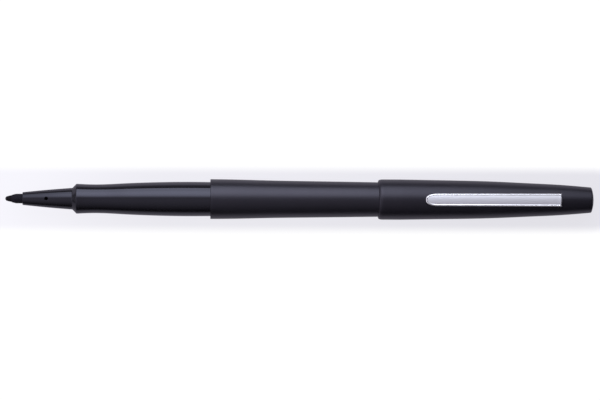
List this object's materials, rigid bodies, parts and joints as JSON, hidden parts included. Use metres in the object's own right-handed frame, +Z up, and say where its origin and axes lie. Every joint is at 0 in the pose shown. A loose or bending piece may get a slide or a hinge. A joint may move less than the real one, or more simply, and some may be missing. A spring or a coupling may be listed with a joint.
{
  "type": "fibre-tip pen",
  "caption": "Slim fibre-tip pen with a waisted gloss grip, a tapering satin barrel and a pull-off cap with a steel pocket clip, shown posted on the back of the barrel.",
  "frame": {"origin": "centre of the bounding box in plan, on the surface that the pen lies on", "axes": "+X along the pen from the nib to the closed end of the cap, +Z up through the middle of the clip, +Y to the left of someone looking along +X"},
  "size_m": [0.1588, 0.0108, 0.0117],
  "materials": {
    "nib_fibre": "matt bonded fibre soaked with black ink",
    "guard_plastic": "smooth semi-matt black plastic",
    "gloss_plastic": "polished black plastic, slightly violet",
    "satin_plastic": "fine satin texture on black plastic",
    "liner_plastic": "soft matt black plastic",
    "reservoir_fibre": "lengthwise fibre core soaked with black ink",
    "reservoir_film": "thin translucent film",
    "clip_steel": "bright rolled steel with polished coined edges"
  },
  "bodies": {
    "pen": {"nib": "nib_fibre", "point_guard": "guard_plastic", "front_section": "gloss_plastic", "barrel": "satin_plastic", "ink_reservoir": "reservoir_fibre", "reservoir_wrap": "reservoir_film", "end_plug": "satin_plastic"},
    "cap": {"cap_shell": "satin_plastic", "inner_cap": "liner_plastic"},
    "clip": {"clip": "clip_steel"}
  },
  "joints": [
    {"name": "cap_slide", "type": "slide", "parent": "pen", "child": "cap", "axis": [1, 0, 0], "range_m": [0, 0.05]},
    {"name": "clip_flex", "type": "hinge", "parent": "cap", "child": "clip", "pos_m": [0.06999, 0, 0.00957], "axis": [0, 1, 0], "range_deg": [0, 3], "stiffness_Nm_per_rad": 1.2}
  ]
}
